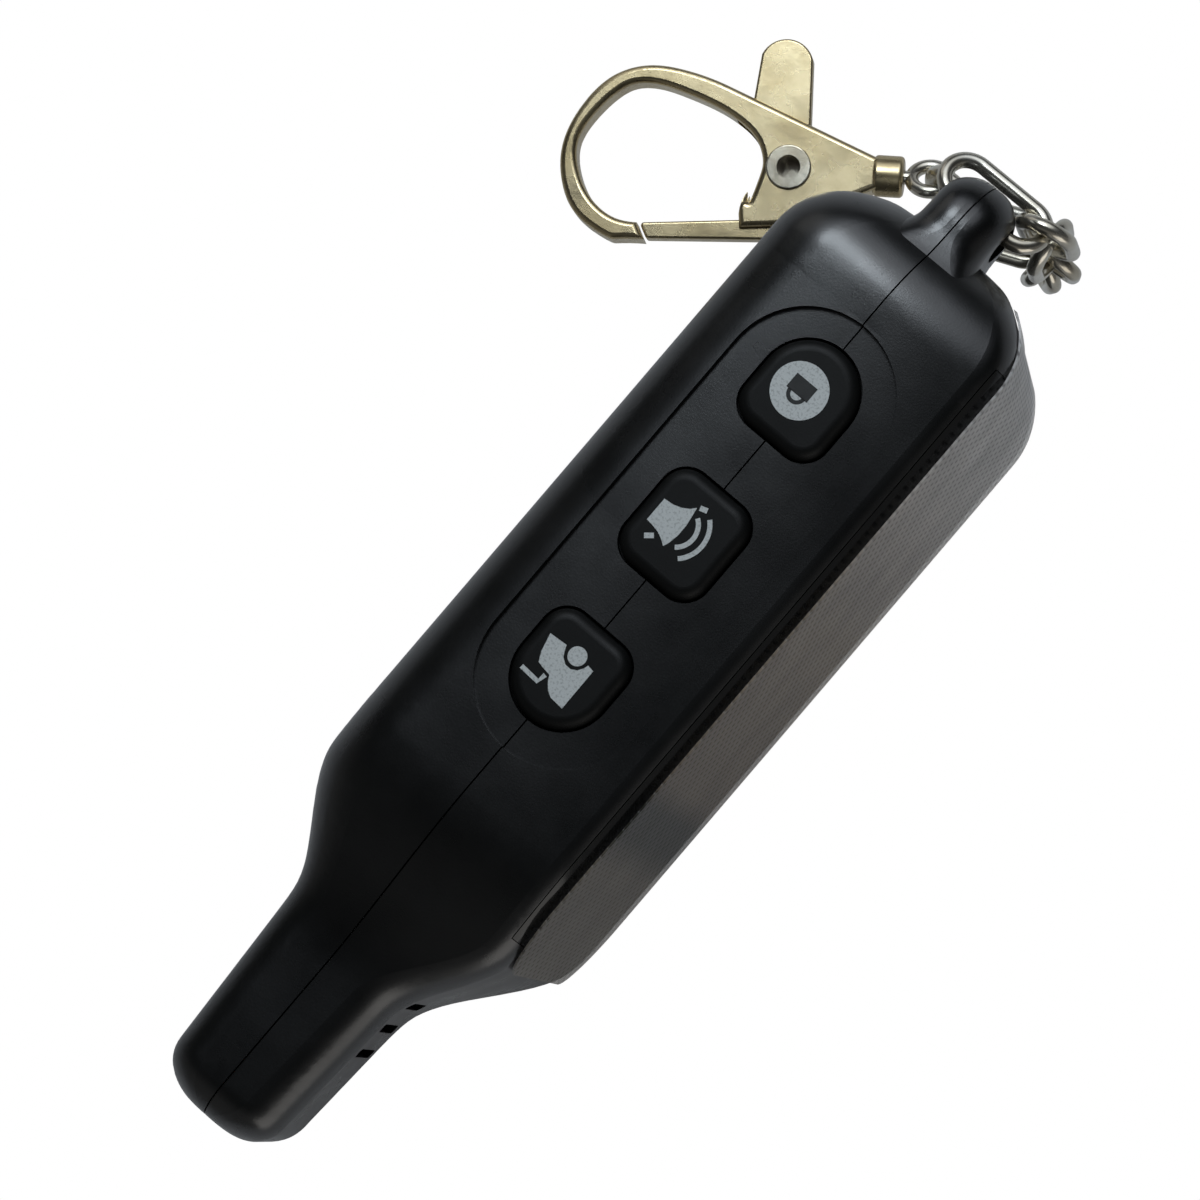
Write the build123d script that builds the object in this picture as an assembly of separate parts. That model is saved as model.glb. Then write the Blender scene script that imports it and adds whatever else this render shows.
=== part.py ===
"""Two-way car alarm fob with a display, three keys on its narrow side, and a clasp on a short chain.

The fob stands on its narrow side. +Z points to the keys, +X to the display, +Y to the lug.
The origin is the centre of the flat rest face. All lengths are in millimetres, angles in degrees.
"""

from build123d import *
import math
import os

os.makedirs("parts", exist_ok=True)

# Driving dimensions of the casing
casing_width = 38.0  # rest face to key face
front_depth = 10.2  # parting plane to the display face
back_depth = 10.6  # parting plane to the back face
shoulder_y = 38.4  # end of the body beside the lug
tip_y = -44.9  # end of the antenna stub
lug_end_y = 43.6
wall = 1.6
cut_over = 2.0  # how far a cutting body runs past what it cuts
rest_depth = 0.3  # what the flat rest face takes off the round casing
crown_r = 60.0  # of the slightly arched key face, seen from the end

# Rounding of the casing
front_corner_r = 2.4
back_corner_r = 5.0
shoulder_r = 7.0
tip_r = 3.0

# Antenna stub, and where the casing narrows to it: y of the start and of the end
stub_half = 4.9
stub_taper = 0.9
stub_bottom_z = 21.5
stub_top_z = 34.8
stub_corner_r = 3.0
back_neck = (-18.0, -28.5)
front_neck = (-21.0, -31.0)
side_neck = (-19.0, -33.0)
key_neck = (-14.0, -31.0)
station_step = 1.6  # between the sections the casing is drawn through

# Lug
lug_half = 2.9
lug_z = 31.0
lug_r = 4.6
lug_edge_r = 2.4
lug_flare = 3.6
lug_flare_share = 0.35  # of the flare that also goes up and down
lug_hole_r = 1.5
lug_hole_y = 40.6

# Parting line, and the smallest rounding anywhere
seam_half = 0.06
least_r = 0.3

# Keys
key_count = 3
key_middle_y = 9.6
key_pitch = 13.1
key_width = 7.5
key_length = 8.2
key_corner_r = 2.0
key_edge_r = 0.9
key_rise = 0.75  # above the floor of the recess
key_play = 0.2
key_travel = 0.5
key_flange = 0.9
key_flange_height = 0.6
key_flange_gap = 0.3
key_post_r = 1.9

# Recess around the keys
recess_width = 13.2
recess_length = 39.6
recess_depth = 0.5
recess_at = (0.15, 9.4)

# Switches under the keys, and the membrane on them
switch_side = 6.0
switch_height = 3.5
switch_gap = 0.05
plunger_r = 1.7
plunger_play = 0.05
plunger_rise = 0.9
plunger_height = 2.6
plunger_clearance = 0.2
membrane_height = 0.6
membrane_gap = 0.1
membrane_margin = 1.4

# Display panel, window and film
panel_height = 1.0
panel_ends = (-20.4, 33.0)
window_ends = (-9.5, 27.5)
window_sides = (7.0, 31.5)
window_corner_r = 1.5
lens_height = 0.9
lens_play = 0.06
film_height = 0.16
film_gap = 0.08
film_ends = (-22.6, 36.2)
film_sides = (1.4, 36.6)
film_corner_r = 6.0
film_tab_width = 8.0
film_tab_length = 6.0
film_tab_reach = 1.4
film_tab_z = 30.0

# Circuit board and what it carries
board_x = 3.0
board_height = 1.0
board_play = 0.5
board_corner_r = 3.0
board_end_gap = 1.8
tongue_corner_r = 1.0
tongue_sides = (24.4, 31.9)
tongue_y = -31.0
step_y = -17.0
glass_height = 1.8
glass_margin = 1.6
backlight_height = 1.4
frame_wall = 0.9
frame_gap = 0.15
zebra_width = 1.0
processor_side = 9.0
processor_height = 1.3
processor_at = (-9.5, 22.5)
pin_mark_r = 0.4
pin_mark_inset = 1.2
pin_mark_depth = 0.1
can_length = 12.0
can_width = 9.0
can_height = 2.4
can_at = (14.0, 22.5)
crystal_length = 6.5
crystal_r = 1.3
crystal_at = (3.0, 22.5)
capacitor_r = 1.6
capacitor_height = 2.8
capacitor_pitch = 4.2
capacitor_count = 3
capacitor_at = (27.0, 22.5)
solder_gap = 0.02

# Battery, its contacts and its bay
battery_r = 5.25
battery_length = 44.5
nipple_r = 1.9
nipple_height = 0.8
battery_edge_r = 0.4
battery_play = 0.3
battery_start_y = -13.4
contact_height = 0.4
contact_half = 4.0
contact_gap = 0.05
spring_r = 2.8
spring_wire_r = 0.35
spring_turns = 3.5
spring_length = 3.4
rib_height = 1.2

# Battery cover
cover_height = 1.3
cover_ends = (-15.0, 32.0)
cover_sides = (2.2, 15.4)
cover_corner_r = 1.5
cover_play = 0.12
cover_ledge = 1.5
grip_length = 8.0
grip_depth = 0.4
grip_half = 0.35
grip_pitch = 1.7
grip_count = 5
grip_y = 26.0

# Buzzer and its slots
buzzer_r = 4.2
buzzer_height = 2.2
buzzer_y = -25.9
buzzer_hole_r = 0.8
buzzer_hole_depth = 0.8
slot_count = 3
slot_width = 0.8
slot_length = 5.6
slot_pitch = 2.5
slot_y = -31.8

# Vibration motor
motor_r = 3.0
motor_length = 11.0
motor_y = -9.0
motor_z = 19.4
motor_play = 0.05
shaft_r = 0.4
shaft_length = 5.2
weight_r = 2.6
weight_length = 3.6
weight_gap = 0.7
cradle_height = 1.6
cradle_wall = 1.0

# Antenna coil
coil_r = 2.4
coil_wire_r = 0.35
coil_turns = 7
coil_pitch = 1.15
coil_wall_gap = 0.3

# Casing screws
screw_r = 1.0
screw_head_r = 1.9
screw_head_height = 1.2
screw_length = 9.0
screw_play = 0.05
screw_sink = 4.4
screw_slot_half = 0.25
screw_slot_depth = 0.6
boss_wall = 1.1
boss_gap = 0.12
screw_inset_y = 5.2
screw_inset_z = 6.4
screw_low_y = -14.8

# Chain
wire_r = 0.6
link_inner_length = 5.4
link_inner_width = 2.6
first_link_inner_length = 7.5
first_link_inner_width = 2.4
first_link_shift = 0.26
link_gap = 0.15
second_link_gap = 0.3
first_link_lean = 63.0  # from straight down towards the end of the lug
first_link_exit = 28.7  # round the end of the first link
# Each link: dip below level, heading from -X towards +Y, roll about its own length
link_courses = (
    (94.0, 3.3, -17.5),
    (90.0, 1.0, 85.0),
    (83.2, 24.7, -27.4),
    (78.6, 8.6, 88.5),
    (78.9, 6.5, 18.5),
    (11.5, -21.1, 107.9),
    (17.4, 2.3, 22.2),
)

# Swivel
eye_r = 1.5
eye_wire_r = 0.55
eye_roll = 37.4
swivel_r = 0.55
swivel_head_r = 0.8
swivel_head_height = 0.5
swivel_play = 0.06
collar_r = 1.65
collar_length = 2.4
collar_edge_r = 0.35

# Clasp, with its outlines as shares of its length and of its half width
clasp_length = 26.2
clasp_half = 8.0
clasp_heading = 216.0  # from +X about +Z
clasp_height = 2.8
clasp_slot = 1.7
clasp_edge_r = 0.45
rivet_share = 0.3
rivet_r = 1.2
rivet_bore_r = 0.95
rivet_floor = 0.7  # metal left below the blind bore
rivet_rim_r = 1.8
rivet_rim_height = 0.25
rivet_play = 0.04
nose_r = 12.8
nose_angles = (30.2, 23.4)
trigger_gap = 0.2
trigger_play = 0.1
trigger_cheek = 0.25
trigger_tip_angles = (23.4, 29.8)
trigger_edge_r = 0.25
trigger_face_r = 0.2
trigger_bore_play = 0.05
torsion_wire_r = 0.12
torsion_turns = 2
torsion_pitch = 0.32
torsion_play = 0.06
loop_run_count = 4  # runs of each curve of the loop
hook_start_shares = (0.03, 0.15)
hook_outer_shares = (
    (0.5, -0.785),
    (0.642, -0.925),
    (0.75, -0.95),
    (0.855, -0.83),
    (0.945, -0.51),
    (0.997, -0.05),
    (0.985, 0.3),
    (0.92, 0.64),
    (0.83, 0.81),
)
hook_inner_shares = (
    (0.82, 0.6),
    (0.885, 0.455),
    (0.935, 0.18),
    (0.948, -0.136),
    (0.909, -0.403),
    (0.858, -0.6),
    (0.795, -0.745),
    (0.725, -0.765),
    (0.633, -0.69),
    (0.525, -0.555),
    (0.452, -0.415),
    (0.4, -0.24),
    (0.381, -0.06),
    (0.391, 0.15),
    (0.417, 0.354),
    (0.441, 0.499),
)
hook_low_shares = ((0.436, 0.626), (0.317, 0.588))
hook_slot_shares = (
    (0.084, -0.144),
    (0.17, -0.26),
    (0.17, -0.56),
    (0.47, -0.96),
    (0.47, -0.66),
    (0.47, 0.875),
    (0.084, 0.875),
)
tab_shares = ((0.255, -1.1), (0.333, -1.305), (0.412, -1.14))
trigger_inner_shares = ((0.425, -0.68), (0.372, -0.3), (0.368, 0.2), (0.425, 0.535))
trigger_outer_shares = ((0.33, 0.72), (0.2175, 0.3), (0.21, -0.2), (0.246, -0.45))


def smooth(share):
    """An even S from 0 to 1."""
    share = min(1.0, max(0.0, share))
    return share * share * (3.0 - 2.0 * share)


def neck(y, ends, shift):
    """1 on the body, 0 on the stub, with an S between."""
    start, end = ends
    return smooth((y - shift - end) / (start - end))


def round_end(distance, radius):
    """How far a round end of this radius draws in at this distance from the end."""
    reach = min(radius, max(0.0, distance))
    return radius - math.sqrt(max(0.0, radius**2 - (radius - reach) ** 2))


def casing_profile(y, inset):
    """Back, front, low and high side of the casing at y, its corner radii and that of its arched top."""
    stub = stub_half + stub_taper * (y - tip_y) / (back_neck[1] - tip_y) - inset
    back_share = neck(y, back_neck, inset)
    front_share = neck(y, front_neck, inset)
    back = stub + (back_depth - inset - stub) * back_share
    front = stub + (front_depth - inset - stub) * front_share
    side_share = neck(y, side_neck, inset)
    low = inset + stub_bottom_z - (stub_bottom_z + rest_depth) * side_share
    high = stub_top_z - inset + (casing_width - stub_top_z) * neck(y, key_neck, inset)
    draw = round_end(shoulder_y - inset - y, shoulder_r - inset)
    draw += round_end(y - tip_y - inset, tip_r - inset)
    back, front, low, high = back - draw, front - draw, low + draw, high - draw
    limit_share = 0.42
    limit = limit_share * min(back + front, high - low)
    back_r = stub_corner_r + (back_corner_r - stub_corner_r) * back_share - inset
    front_r = stub_corner_r + (front_corner_r - stub_corner_r) * front_share - inset
    back_r = max(least_r, min(back_r, limit))
    front_r = max(least_r, min(front_r, limit))
    return back, front, low, high, back_r, front_r, crown_r - inset


def round_corner(x, z, in_x, in_z, r):
    """A quarter round at a corner: its end on the face across z, its middle, its end on the face across x."""
    reach = r * (1.0 - math.sqrt(0.5))
    return (x + in_x * r, z), (x + in_x * reach, z + in_z * reach), (x, z + in_z * r)


def crown_corner(x, high, side, r, crown):
    """The round between a side and the arched top: its end on the arch, its middle, its end on the side."""
    centre_x, crown_z = x - side * r, high - crown
    centre_z = crown_z + math.sqrt((crown - r) ** 2 - centre_x**2)
    lean = math.atan2(centre_x, centre_z - crown_z)
    half_turn = (side * math.pi / 2 + lean) / 2
    top = (crown * math.sin(lean), crown_z + crown * math.cos(lean))
    middle = (centre_x + r * math.sin(half_turn), centre_z + r * math.cos(half_turn))
    return top, middle, (x, centre_z)


def section_wire(y, back, front, low, high, back_r, front_r, crown):
    """A rounded oblong across the fob at y, with an arched top."""
    front_low = round_corner(front, low, -1, 1, front_r)
    back_low = round_corner(-back, low, 1, 1, back_r)
    front_high = crown_corner(front, high, 1, front_r, crown)
    back_high = crown_corner(-back, high, -1, back_r, crown)
    runs = (
        front_low,
        (front_low[2], front_high[2]),
        front_high[::-1],
        (front_high[0], (0, high), back_high[0]),
        back_high,
        (back_high[2], back_low[2]),
        back_low[::-1],
        (back_low[0], front_low[0]),
    )
    edges = []
    for run in runs:
        points = [Vector(x, y, z) for x, z in run]
        edges.append(Edge.make_three_point_arc(*points) if len(points) == 3 else Edge.make_line(*points))
    return Wire(edges)


def casing_loft(stations, inset):
    """The casing drawn smoothly through its sections at these places."""
    wires = [section_wire(y, *casing_profile(y, inset)) for y in stations]
    return Solid.make_loft(wires, ruled=False)


def casing_body(inset):
    """The casing drawn in by the inset: stub and neck, straight body, and round shoulder."""
    end_shares = (0.0, 0.03, 0.12, 0.27, 0.45, 0.7, 1.0)
    lead_shares = (1.25, 0.6, 0.3)
    leads = [station_step * share for share in lead_shares]
    tip_start, shoulder_end = tip_y + inset, shoulder_y - inset
    shoulder_start = shoulder_end - (shoulder_r - inset)
    body_start, body_end = key_neck[0] + inset, shoulder_start - leads[0]
    stub_stations = [tip_start + (tip_r - inset) * share for share in end_shares]
    first = stub_stations[-1]
    steps = round((body_start - first) / station_step)
    stub_stations += [first + (body_start - first) * step / steps for step in range(1, steps + 1)]
    stub_stations += [body_start + lead for lead in reversed(leads)]
    shoulder_stations = [shoulder_start - lead for lead in leads]
    shoulder_stations += [shoulder_end - (shoulder_r - inset) * share for share in reversed(end_shares)]
    stub = casing_loft(stub_stations, inset)
    shoulder = casing_loft(shoulder_stations, inset)
    start_y = stub_stations[-1]
    section = Face(section_wire(start_y, *casing_profile(start_y, inset)))
    return extrude(section, body_end - start_y, dir=(0, 1, 0)).fuse(stub, shoulder)


def lug_body():
    """The rounded lug, which flares into the shoulder of the casing."""
    centre_y = lug_end_y - lug_r
    root_y = shoulder_y - lug_flare
    flare_shares = (0.0, 0.25, 0.5, 0.72, 0.9)
    end_angles = (0.0, 22.0, 40.0, 56.0, 70.0, 81.0)
    limit_share = 0.47
    places = []
    for share in flare_shares:
        spread = lug_flare * (1.0 - share) ** 2
        y = root_y + (centre_y - root_y) * share
        places.append((y, lug_half + spread, lug_r + spread * lug_flare_share))
    for angle in end_angles:
        y = centre_y + lug_r * math.sin(math.radians(angle))
        half = lug_half - round_end(lug_end_y - y, lug_edge_r)
        places.append((y, half, lug_r * math.cos(math.radians(angle))))
    sections = []
    for y, half, rise in places:
        r = min(lug_edge_r, limit_share * 2 * min(half, rise))
        sections.append(section_wire(y, half, half, lug_z - rise, lug_z + rise, r, r, crown_r))
    return Solid.make_loft(sections, ruled=False)


def block(x0, x1, y0, y1, z0, z1):
    """A block between two corners."""
    place = Pos((x0 + x1) / 2, (y0 + y1) / 2, (z0 + z1) / 2)
    return place * Box(x1 - x0, y1 - y0, z1 - z0)


def rod_x(x0, x1, y, z, r):
    """A round rod along x."""
    return Pos((x0 + x1) / 2, y, z) * Rot(0, 90, 0) * Cylinder(r, x1 - x0)


def rod_y(y0, y1, x, z, r):
    """A round rod along y."""
    return Pos(x, (y0 + y1) / 2, z) * Rot(90, 0, 0) * Cylinder(r, y1 - y0)


def rod_z(z0, z1, x, y, r):
    """A round rod along z."""
    return Pos(x, y, (z0 + z1) / 2) * Cylinder(r, z1 - z0)


def plate_x(x0, x1, ends, sides, r):
    """A plate across x with round corners, between two ends in y and two sides in z."""
    outline = RectangleRounded(ends[1] - ends[0], sides[1] - sides[0], r)
    centre = (x0, (ends[0] + ends[1]) / 2, (sides[0] + sides[1]) / 2)
    frame = Plane(origin=centre, x_dir=(0, 1, 0), z_dir=(1, 0, 0))
    return extrude(frame * outline, x1 - x0)


def around(ends, margin):
    """The same stretch, longer by the margin at both ends."""
    return ends[0] - margin, ends[1] + margin


# Places worked out from the sizes above
casing_reach = casing_width + cut_over
casing_start = tip_y - cut_over
casing_end = lug_end_y + cut_over
inside_x = wall - back_depth
panel_x = front_depth - panel_height
lens_x = front_depth - lens_height
recess_floor_z = casing_width - recess_depth
ceiling_z = casing_width - wall
key_ys = [key_middle_y + key_pitch * (1 - number) for number in range(key_count)]
key_names = ("lock", "horn", "trunk")
flange_top_z = ceiling_z - key_flange_gap
flange_z = flange_top_z - key_flange_height
membrane_top_z = flange_z - key_travel - membrane_gap
membrane_z = membrane_top_z - membrane_height
switch_top_z = membrane_z - membrane_gap
switch_z = switch_top_z - switch_height
plunger_top_z = switch_top_z + plunger_rise
plunger_z = plunger_top_z - plunger_height
board_front_x = board_x + board_height
battery_x = inside_x + battery_play + battery_r
battery_z = wall + battery_play + battery_r
battery_end_y = battery_start_y + battery_length
bay_start = battery_start_y - contact_gap - spring_length - contact_height
bay_end = battery_end_y + contact_gap + contact_height
divider_z = battery_z + battery_r + battery_play
motor_x = inside_x + cradle_wall + motor_r
stub_mid_z = (stub_bottom_z + stub_top_z) / 2
screw_places = (
    (shoulder_y - screw_inset_y, ceiling_z - screw_inset_z),
    (screw_low_y, ceiling_z - screw_inset_z),
)
screw_seat_x = screw_sink + screw_head_height - back_depth
screw_end_x = screw_seat_x + screw_length

casing_outer = casing_body(0.0) + lug_body()
casing_outer -= block(-casing_reach, casing_reach, casing_start, casing_end, -casing_reach, 0)
casing_hollow = casing_body(wall)


def half_space(side):
    """All of the fob on one side of the parting line."""
    x0, x1 = (seam_half, casing_reach) if side > 0 else (-casing_reach, -seam_half)
    return block(x0, x1, casing_start, casing_end, -cut_over, casing_reach)


def key_outline(number, grow):
    """Seen from above: the outer keys have one round end, the middle one is square."""
    half, end, corner_r = key_width / 2 + grow, key_length / 2 + grow, key_corner_r + grow
    square = RectangleRounded(2 * half, 2 * end, corner_r)
    if number == key_count // 2:
        return square
    towards = 1 if number < key_count // 2 else -1
    flat_length = 2 * end - half
    flat = Pos(0, towards * (flat_length / 2 - end)) * Rectangle(2 * half, flat_length)
    return (square & flat) + Pos(0, towards * (end - half)) * Circle(half)


def key_solid(number, z, height, grow):
    """The outline of a key, raised from z."""
    return Pos(0, key_ys[number], z) * extrude(key_outline(number, grow), height)


def key_cap(number):
    """A key with a soft top edge, a flange that holds it in, and a post that presses the switch."""
    top_z = recess_floor_z + key_rise
    cap = key_solid(number, flange_z, top_z - flange_z, 0.0)
    rim = cap.edges().filter_by_position(Axis.Z, top_z - least_r, top_z + least_r)
    cap = fillet(rim, key_edge_r)
    flange = key_solid(number, flange_z, key_flange_height, key_flange)
    return cap + flange + rod_z(plunger_top_z, flange_z, 0, key_ys[number], key_post_r)


def switch_plunger(number):
    """The plunger of a switch, which follows its key."""
    return rod_z(plunger_z, plunger_top_z, 0, key_ys[number], plunger_r)


def switch_body(number):
    """A square switch with a well for its plunger."""
    y, half = key_ys[number], switch_side / 2
    body = block(-half, board_x - switch_gap, y - half, y + half, switch_z, switch_top_z)
    well_z = plunger_z - key_travel - plunger_clearance
    return body - rod_z(well_z, switch_top_z + cut_over, 0, y, plunger_r + plunger_play)


def keypad_membrane():
    """The sheet that lies on the switches and keeps dust out of them."""
    reach = switch_side / 2 + membrane_margin
    low_y, high_y = key_ys[-1] - reach, key_ys[0] + reach
    sheet = block(-reach, board_x - switch_gap, low_y, high_y, membrane_z, membrane_top_z)
    for y in key_ys:
        sheet -= rod_z(membrane_z - cut_over, casing_width, 0, y, key_post_r + key_play)
    return sheet


def panel_block(play):
    """The region of the display panel."""
    low_y, high_y = around(panel_ends, play)
    return block(panel_x - play, casing_reach, low_y, high_y, -cut_over, casing_reach)


def window_hole(x0, x1):
    return plate_x(x0, x1, window_ends, window_sides, window_corner_r)


def casing_outside():
    """The casing before it is parted and hollowed, with its recess, key holes and lug hole."""
    outline = SlotOverall(recess_length, recess_width, rotation=90)
    recess = Pos(*recess_at, ceiling_z) * extrude(outline, wall + cut_over)
    start_y = recess_at[1] - recess_length / 2 - cut_over
    below = Face(section_wire(start_y, *casing_profile(recess_at[1], recess_depth)))
    recess -= extrude(below, recess_length + 2 * cut_over, dir=(0, 1, 0))
    outside = casing_outer - recess
    for number in range(key_count):
        outside -= key_solid(number, ceiling_z - cut_over, wall + 2 * cut_over, key_play)
    return outside - rod_x(-casing_reach, casing_reach, lug_hole_y, lug_z, lug_hole_r)


def sound_slots():
    """Slots in the root of the stub, in front of the buzzer."""
    slots = []
    for number in range(slot_count):
        y = slot_y + slot_pitch * (number - (slot_count - 1) / 2)
        ends = around((y, y), slot_width / 2)
        sides = around((stub_mid_z, stub_mid_z), slot_length / 2)
        end_share = 0.45
        slots.append(plate_x(board_front_x, casing_reach, ends, sides, slot_width * end_share))
    return slots


def front_shell(outside):
    """The display-side shell, with the seat of the panel, screw bosses and sound slots."""
    front = (outside & half_space(1)) - casing_hollow
    front -= panel_block(0.0)
    front -= window_hole(board_front_x, casing_reach)
    for y, z in screw_places:
        front += rod_x(seam_half, panel_x - wall / 4, y, z, screw_r + boss_wall)
        front -= rod_x(-cut_over, screw_end_x + wall, y, z, screw_r)
    for slot in sound_slots():
        front -= slot
    return front


def bay_ribs():
    """Ribs that close the battery bay, and the cradle of the vibration motor."""
    back_x, low_z, top_z = inside_x - wall / 4, wall / 2, divider_z + rib_height
    reach = motor_r + cradle_wall
    ribs = [
        block(back_x, -least_r, bay_start - rib_height, bay_start, low_z, top_z),
        block(back_x, -least_r, bay_end, bay_end + rib_height, low_z, top_z),
        block(back_x, -least_r, bay_start, bay_end, divider_z, top_z),
    ]
    cradle_shares = (0.15, 0.75)
    for share in cradle_shares:
        y = motor_y + motor_length * share
        ribs.append(block(back_x, motor_x, y, y + cradle_height, motor_z - reach, motor_z + reach))
    return ribs


def back_shell(outside):
    """The back shell, with the battery bay, the motor cradle and the screw bosses."""
    back = (outside & half_space(-1)) - casing_hollow
    for rib in bay_ribs():
        back += rib
    back -= rod_y(motor_y, motor_y + motor_length, motor_x, motor_z, motor_r + motor_play)
    middle = casing_body(wall / 2)
    for y, z in screw_places:
        back += rod_x(-back_depth, -boss_gap, y, z, screw_head_r + boss_wall) & middle
        back -= rod_x(-casing_reach, screw_seat_x, y, z, screw_head_r + screw_play)
        back -= rod_x(-casing_reach, cut_over, y, z, screw_r + screw_play)
    back -= cover_plate(0.0, casing_reach)
    opening_ends, opening_sides = around(cover_ends, -cover_ledge), around(cover_sides, -cover_ledge)
    return back - plate_x(-casing_reach, inside_x + boss_gap, opening_ends, opening_sides, cover_corner_r)


def cover_plate(play, reach):
    """The region of the battery cover, smaller by the play all round."""
    ends, sides = around(cover_ends, -play), around(cover_sides, -play)
    return plate_x(-reach, cover_height - back_depth - play, ends, sides, cover_corner_r)


def battery_cover():
    """The cover of the battery bay, with grip grooves at one end."""
    cover = cover_plate(cover_play, casing_reach) & casing_outer
    mid_z = (cover_sides[0] + cover_sides[1]) / 2
    for number in range(grip_count):
        y = grip_y - grip_pitch * number
        groove_x = grip_depth - back_depth
        cover -= block(
            -casing_reach,
            groove_x,
            y - grip_half,
            y + grip_half,
            mid_z - grip_length / 2,
            mid_z + grip_length / 2,
        )
    return cover


def front_panel():
    """The glossy panel that covers the display face and rounds over its edges."""
    return (panel_block(-seam_half) & casing_outer) - window_hole(board_front_x, casing_reach)


def display_window():
    """The clear window, flush in the panel."""
    ends, sides = around(window_ends, -lens_play), around(window_sides, -lens_play)
    return plate_x(lens_x, front_depth, ends, sides, window_corner_r)


def protective_film():
    """The clear film on the panel, which bends over the shoulder and ends in a pull tab."""
    bend_y, bend_r = shoulder_y - shoulder_r, shoulder_r + film_gap
    film_x = front_depth + film_gap
    height = casing_width
    straight = block(film_x, film_x + film_height, film_ends[0], bend_y, 0, height)
    bend = Cylinder(bend_r + film_height, height) - Cylinder(bend_r, height)
    bend &= block(0, 2 * bend_r, 0, 2 * bend_r, -height, height)
    film = straight + Pos(film_x - bend_r, bend_y, height / 2) * bend
    region = plate_x(0, casing_reach, film_ends, film_sides, film_corner_r)
    tab_end = film_ends[1] + film_tab_reach
    tab_sides = around((film_tab_z, film_tab_z), film_tab_width / 2)
    tab_share = 0.45
    tab_r = film_tab_length * tab_share
    region += plate_x(0, casing_reach, (tab_end - film_tab_length, tab_end), tab_sides, tab_r)
    return film & region


def circuit_board():
    """The board behind the display, with a tongue that reaches into the antenna stub."""
    sides = (wall + board_play, flange_z - key_travel - board_play)
    end_y = shoulder_y - wall - board_end_gap
    board = plate_x(board_x, board_front_x, (step_y, end_y), sides, board_corner_r)
    tongue_ends = (tongue_y, step_y + 2 * board_corner_r)
    board += plate_x(board_x, board_front_x, tongue_ends, tongue_sides, tongue_corner_r)
    for y, z in screw_places:
        board -= rod_x(0, casing_reach, y, z, screw_r + boss_wall + boss_gap)
    return board


def display_stack():
    """Backlight, glass and their frame, one on the other in front of the board."""
    ends, sides = around(window_ends, glass_margin), around(window_sides, glass_margin)
    light_x = board_front_x + solder_gap
    glass_x = light_x + backlight_height + solder_gap
    glass_end_x = glass_x + glass_height
    light_sides = around(sides, -zebra_width - frame_gap)
    light = plate_x(light_x, light_x + backlight_height, ends, light_sides, frame_gap)
    glass = plate_x(glass_x, glass_end_x, ends, sides, frame_gap)
    frame = plate_x(
        light_x,
        panel_x - wall / 2 + frame_gap,
        around(ends, frame_gap + frame_wall),
        around(sides, frame_gap + frame_wall),
        frame_wall,
    )
    frame -= plate_x(0, glass_end_x + solder_gap, around(ends, frame_gap), around(sides, frame_gap), frame_gap)
    frame -= window_hole(0, casing_reach)
    strips = []
    for low_z in (sides[0], sides[1] - zebra_width):
        strips.append(block(light_x, light_x + backlight_height, *ends, low_z, low_z + zebra_width))
    return light, glass, frame, strips


def processor():
    """The processor, with a round key mark in one corner."""
    y, z = processor_at
    half = processor_side / 2
    body = block(
        board_x - solder_gap - processor_height, board_x - solder_gap, y - half, y + half, z - half, z + half
    )
    mark = half - pin_mark_inset
    top_x = board_x - solder_gap - processor_height
    return body - rod_x(top_x - cut_over, top_x + pin_mark_depth, y + mark, z + mark, pin_mark_r)


def radio_can():
    """The screening can over the radio."""
    y, z = can_at
    body = block(
        board_x - solder_gap - can_height,
        board_x - solder_gap,
        y - can_length / 2,
        y + can_length / 2,
        z - can_width / 2,
        z + can_width / 2,
    )
    top = body.edges().filter_by_position(Axis.X, board_x - can_height - least_r, board_x - can_height)
    return fillet(top, least_r)


def crystal():
    """The crystal can, lying on the board."""
    y, z = crystal_at
    half = crystal_length / 2
    return rod_y(y - half, y + half, board_x - solder_gap - crystal_r, z, crystal_r)


def capacitors():
    """A row of round capacitors."""
    y, z = capacitor_at
    x = board_x - solder_gap
    row = []
    for number in range(capacitor_count):
        offset = capacitor_pitch * (number - (capacitor_count - 1) / 2)
        row.append(rod_x(x - capacitor_height, x, y, z + offset, capacitor_r))
    return row


def buzzer():
    """The buzzer on the tongue of the board, with its sound hole."""
    x = board_x - solder_gap
    disc = rod_x(x - buzzer_height, x, buzzer_y, stub_mid_z, buzzer_r)
    top_x = x - buzzer_height
    return disc - rod_x(top_x - cut_over, top_x + buzzer_hole_depth, buzzer_y, stub_mid_z, buzzer_hole_r)


def battery():
    """A round cell with its raised pole towards the lug."""
    body_end = battery_end_y - nipple_height
    body = rod_y(battery_start_y, body_end, battery_x, battery_z, battery_r)
    body = fillet(body.edges().filter_by(GeomType.CIRCLE), battery_edge_r)
    return body + rod_y(body_end - battery_edge_r, battery_end_y, battery_x, battery_z, nipple_r)


def contact_plate(y):
    """A flat contact at one end of the battery bay."""
    half = contact_half
    return block(
        battery_x - half, battery_x + half, y, y + contact_height, battery_z - half, battery_z + half
    )


def coil_tube(start, axis_dir, radius, pitch, turns, tube_r):
    """A helical tube of round wire from a start on its axis."""
    path = Helix(pitch, pitch * turns, radius, center=start, direction=axis_dir)
    place = Plane(origin=path @ 0, z_dir=path % 0)
    return sweep(place * Circle(tube_r), path=path)


def battery_spring():
    """The coil that presses on the flat pole of the battery."""
    turns_length = spring_length - 2 * spring_wire_r - 2 * contact_gap
    start = (battery_x, bay_start + contact_height + spring_wire_r + contact_gap, battery_z)
    pitch = turns_length / spring_turns
    return coil_tube(start, (0, 1, 0), spring_r, pitch, spring_turns, spring_wire_r)


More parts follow.
